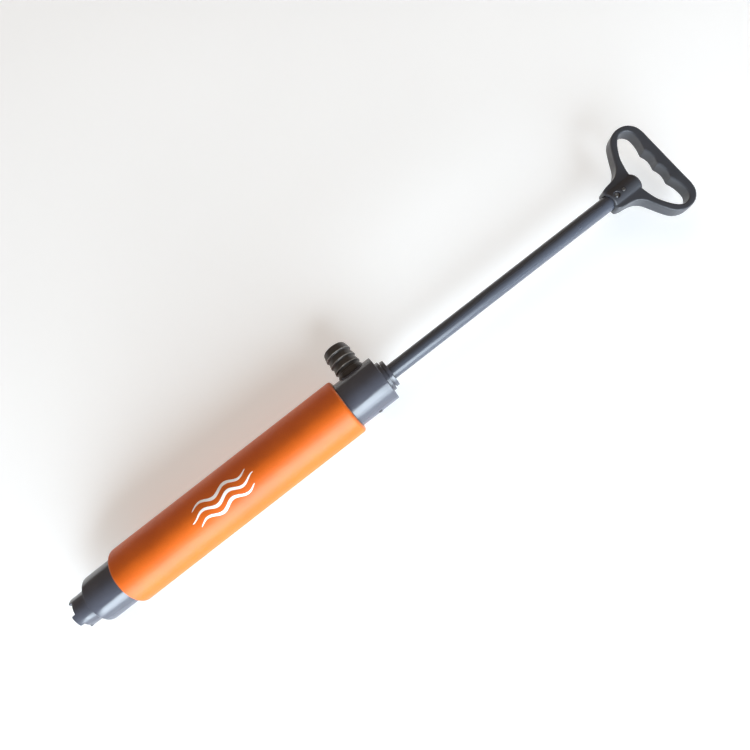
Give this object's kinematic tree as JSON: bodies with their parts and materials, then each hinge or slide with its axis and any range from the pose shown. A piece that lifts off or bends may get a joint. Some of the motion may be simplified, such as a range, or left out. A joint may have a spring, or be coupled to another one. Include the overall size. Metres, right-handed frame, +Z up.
{
  "type": "manual_bilge_pump",
  "caption": "Hand bilge pump with a foam float sleeve, a toothed inlet foot, a barbed side outlet and a long plunger rod with a D-shaped finger-grip handle, drawn right out",
  "frame": {"origin": "on the surface that the pump lies on, under the middle of its bounding box", "axes": "+X along the pump's axis from the inlet to the handle, +Y the side that the outlet spout points to, +Z up from the foam sleeve's resting facet; the pump's axis is the line y = 0, z = 0.0305 m"},
  "size_m": [0.7302, 0.1095, 0.061],
  "materials": {
    "grey_plastic": "satin",
    "dark_grey_plastic": "satin",
    "orange_foam": "matte",
    "black_rubber": "matte",
    "screw_steel": "polished",
    "white_plastic": "satin"
  },
  "bodies": {
    "barrel": {"inlet_foot": "grey_plastic", "foot_valve_seat": "white_plastic", "foot_valve_seal": "black_rubber", "foot_valve_pin": "white_plastic", "barrel_tube": "grey_plastic", "foam_sleeve": "orange_foam", "outlet_head": "grey_plastic", "outlet_spout": "dark_grey_plastic", "rod_bush": "white_plastic", "rod_seal": "black_rubber", "gland_cap": "dark_grey_plastic"},
    "foot_valve": {"foot_valve_disc": "black_rubber"},
    "piston_seal": {"piston_cup": "black_rubber"},
    "plunger": {"piston_body": "white_plastic", "piston_valve_retainer": "white_plastic", "piston_screw": "screw_steel", "rod_end_plug": "white_plastic", "stop_sleeve": "white_plastic", "plunger_rod": "grey_plastic", "handle": "dark_grey_plastic", "handle_screw": "screw_steel", "handle_pin": "screw_steel"},
    "piston_valve": {"piston_valve_disc": "black_rubber"}
  },
  "joints": [
    {"name": "piston_stroke", "type": "slide", "parent": "barrel", "child": "piston_seal", "axis": [1, 0, 0], "range_m": [-0.273, 0]},
    {"name": "handle_turn", "type": "hinge", "parent": "piston_seal", "child": "plunger", "pos_m": [0, 0, 0.0305], "axis": [1, 0, 0], "continuous": true},
    {"name": "foot_valve_lift", "type": "slide", "parent": "barrel", "child": "foot_valve", "axis": [1, 0, 0], "range_m": [0, 0.0055]},
    {"name": "piston_valve_lift", "type": "slide", "parent": "plunger", "child": "piston_valve", "axis": [1, 0, 0], "range_m": [0, 0.004]}
  ]
}
